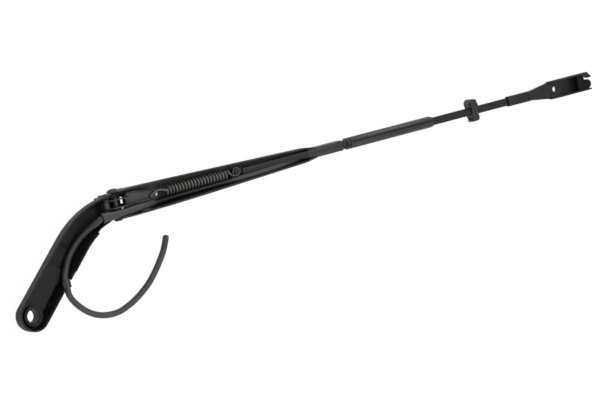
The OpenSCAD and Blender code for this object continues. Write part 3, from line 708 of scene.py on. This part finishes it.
def coverTube():
    s = coverSettings
    start, end = s["from"], s["from"] + s["length"]
    obj = endBlock("coverTube", crown(), start + s["groove"], s["length"] - s["groove"])
    ring = endBlock("ring", crown(), start, s["ring"])
    neck = endBlock("neck", crown(s["inset"]), start + s["neckFrom"], s["neck"])
    near, far, top, foot = s["slitSide"], s["slitSide"] + s["slit"], s["slitTop"], s["slitFoot"]
    slit = ((near, top), (near, foot), (far, foot), (far + s["slitFlare"], top))
    cut(obj, endBlock("slit", slit, start + s["slitFrom"], s["length"]))
    cut(obj, endBlock("mouth", barSection, end - s["mouth"], s["mouth"] + 10))
    for side in (-1, 1):
        corner = [(end + u, side * out) for u, out in s["corner"]]
        cut(obj, planBlock("corner", corner, s["low"] - 2, 20))
    bevelEdges(obj, 0.0003, sharper=40)
    bevelEdges(ring, 0.0005, segments=3, sharper=50)
    joinAll(obj, ring, neck)
    shadeByAngle(obj, 35)
    finishPiece(obj, plastic["cover"], "arm", "cover_plastic", "hose_cover")


coverTube()


# Clip with two lobes, one for each nozzle: each block's lift, its height past the body's, and its outline
clipSettings = {
    "at": 480.6, "low": -18, "high": -2.6, "edge": 0.0013, "passing": 9,
    "voxel": 0.0003, "rounds": 11, "share": 0.5, "keep": 0.4,
    "blocks": {
        "sprayClip": (0, -0.8, ((-4, -8), (4.8, -8), (4.8, 8), (-4, 8))),
        "upper": (1, 0.6, ((-5, 3), (5.2, 3), (5, 6.5), (3.2, 13.2), (-2.2, 14.2), (-5.4, 10.6))),
        "lower": (2, -3.6, ((-3.8, -3), (-4.6, -12.6), (4.8, -12.2), (6.2, -9.6), (6.2, -4.5)))},
}


def lobedClip():
    s = clipSettings
    blocks = []
    for name, (lift, taller, outline) in s["blocks"].items():
        placed = [(s["at"] + u, side) for u, side in outline]
        block = planBlock(name, placed, s["low"] + lift, s["high"] + taller - s["low"])
        bevelEdges(block, s["edge"], segments=4, sharper=32)
        blocks.append(block)
    obj = joinAll(*blocks)
    castTogether(obj, s["voxel"], s["rounds"], s["share"])
    cut(obj, endBlock("passing", barSection, s["at"] - s["passing"], 2 * s["passing"]))
    applyModifier(obj, "DECIMATE", ratio=s["keep"])
    shadeByAngle(obj)
    finishPiece(obj, plastic["clip"], "arm", "clip_plastic", "nozzle_clip")


lobedClip()
print("cover and clip made")


# A node's own shape with its edges broken, as casting, pressing and paint leave them
dressSettings = {
    "hose_clip": {"edge": 0.00015, "finish": plastic["cradle"], "slot": "clip_plastic"},
    "hinge_rivet": {"edge": 0.00025, "finish": paint["rivet"], "slot": "black_paint_rivet"},
    "hinge_bush": {"edge": 0.0003, "finish": steel["zinc"], "slot": "zinc_steel"},
    "hinge_washers": {"edge": 0.00008, "finish": plastic["washer"], "slot": "washer_plastic"},
    "anchor_pin": {"edge": 0.0004, "finish": steel["zinc"], "slot": "zinc_steel"},
    "retainer": {"edge": 0.00035, "finish": paint["channel"], "slot": "black_paint_channel"},
    "hose_guide": {"edge": 0.0002, "finish": plastic["guide"], "slot": "grey_plastic"},
    "end_fitting": {"edge": 0.0003, "finish": paint["fitting"], "slot": "black_paint_fitting"},
    "tip_pin": {"edge": 0.0002, "finish": steel["jet"], "slot": "zinc_steel"},
}


def dressed(node, settings):
    obj = copyOf(node, "dressed_" + node)
    bpy.ops.object.mode_set(mode="EDIT")
    bpy.ops.mesh.select_all(action="SELECT")
    bpy.ops.mesh.dissolve_limited(angle_limit=math.radians(1))
    bevelEdges(obj, settings["edge"], sharper=32)
    shadeByAngle(obj)
    finishPiece(obj, settings["finish"], bodyOf[node], settings["slot"], node)


for node, settings in dressSettings.items():
    dressed(node, settings)
print("nodes dressed")

# The rivet's lower head stands out under the ear
rivetSettings = {"radius": 4.6, "level": -11, "side": -15.6, "height": 2.9, "edge": 0.0009}
rivetHead = sideBlock("rivetHead", circle(rivetSettings["radius"], 0, rivetSettings["level"], 40),
                      rivetSettings["side"], -rivetSettings["height"])
bevelEdges(rivetHead, rivetSettings["edge"], segments=3, sharper=50)
finishPiece(rivetHead, paint["rivet"], "head", "black_paint_rivet")

# The jets sit in the lobes of the clip
jetSettings = {"along": 0.0032}
jets = copyOf("nozzle_jets", "jets")
pick(jets)
bpy.ops.transform.translate(value=(jetSettings["along"], 0, 0))
bpy.ops.object.transform_apply(location=True, rotation=True, scale=True)
finishPiece(jets, steel["jet"], "arm", "jet_metal", "nozzle_jets")

# Tongue of the tip: a block on the pin, and its round end; its near-black finish is painted shade
tongueSettings = {"over": ((620, -12), (630.4, -12), (631.4, 0), (620, 0)), "reach": 12, "edge": 0.0005}
tongue = copyOf("tip_tongue", "tongue")
cut(tongue, sideBlock("over", tongueSettings["over"], -tongueSettings["reach"], 2 * tongueSettings["reach"]))
bevelEdges(tongue, tongueSettings["edge"], segments=3, sharper=32)
shadeByAngle(tongue)
finishPiece(tongue, plastic["tongue"], "arm", "clip_plastic", "tip_tongue")
print("small pieces made")

# Floor, light and background
stageSettings = {"level": -0.018, "size": 12, "centre": (0.4, 0.05), "shade": 0.07,
                 "worldLight": 0.58, "white": 1.03}
deselectAll()
bpy.ops.mesh.primitive_plane_add(size=stageSettings["size"],
                                 location=(*stageSettings["centre"], stageSettings["level"]))
floor = bpy.context.object
floor.name = "floor"
floorFinish = Finish("floorWhite")
floorFinish.set(Base_Color=(0.9, 0.9, 0.9, 1), Roughness=0.9)
seen = floorFinish.seenRays() * (1 - stageSettings["shade"])        # the rest shows the floor's own shadows
white = floorFinish.add("ShaderNodeEmission", None, {"Color": (1, 1, 1, 1),
                                                     "Strength": stageSettings["white"]})
mixed = floorFinish.add("ShaderNodeMixShader", None, {0: seen, 1: floorFinish.surface, 2: white})
floorFinish.feed(floorFinish.end.inputs["Surface"], mixed)
floor.data.materials.append(floorFinish.material)

world = bpy.data.worlds.new("studio")
world.use_nodes = True
bpy.context.scene.world = world
sky = Shading(world.node_tree)
strength = sky.add("ShaderNodeMapRange", None,
                   {"Value": sky.seenRays(), "To Min": stageSettings["worldLight"], "To Max": 1.0})
background = sky.tree.nodes["Background"]
sky.feed(background.inputs["Color"], (1, 1, 1, 1))
sky.feed(background.inputs["Strength"], strength)

lampSettings = {
    "topLamp": {"at": (0.9, 0.5, 2.6), "size": 1.4, "power": 15},
    "upperLamp": {"at": (1.5, 2.1, 0.6), "size": 1.2, "power": 14},
    "lowerLamp": {"at": (0.9, -1.8, 1.9), "size": 1.2, "power": 10},
}
lampAim = Vector((0.35, 0.05, 0))
for name, settings in lampSettings.items():
    data = bpy.data.lights.new(name, "AREA")
    data.shape = "DISK"
    data.size = settings["size"]
    data.energy = settings["power"]
    lamp = bpy.data.objects.new(name, data)
    bpy.context.scene.collection.objects.link(lamp)
    lamp.location = settings["at"]
    lamp.rotation_euler = (lampAim - Vector(settings["at"])).to_track_quat("-Z", "Y").to_euler()
print("stage set")
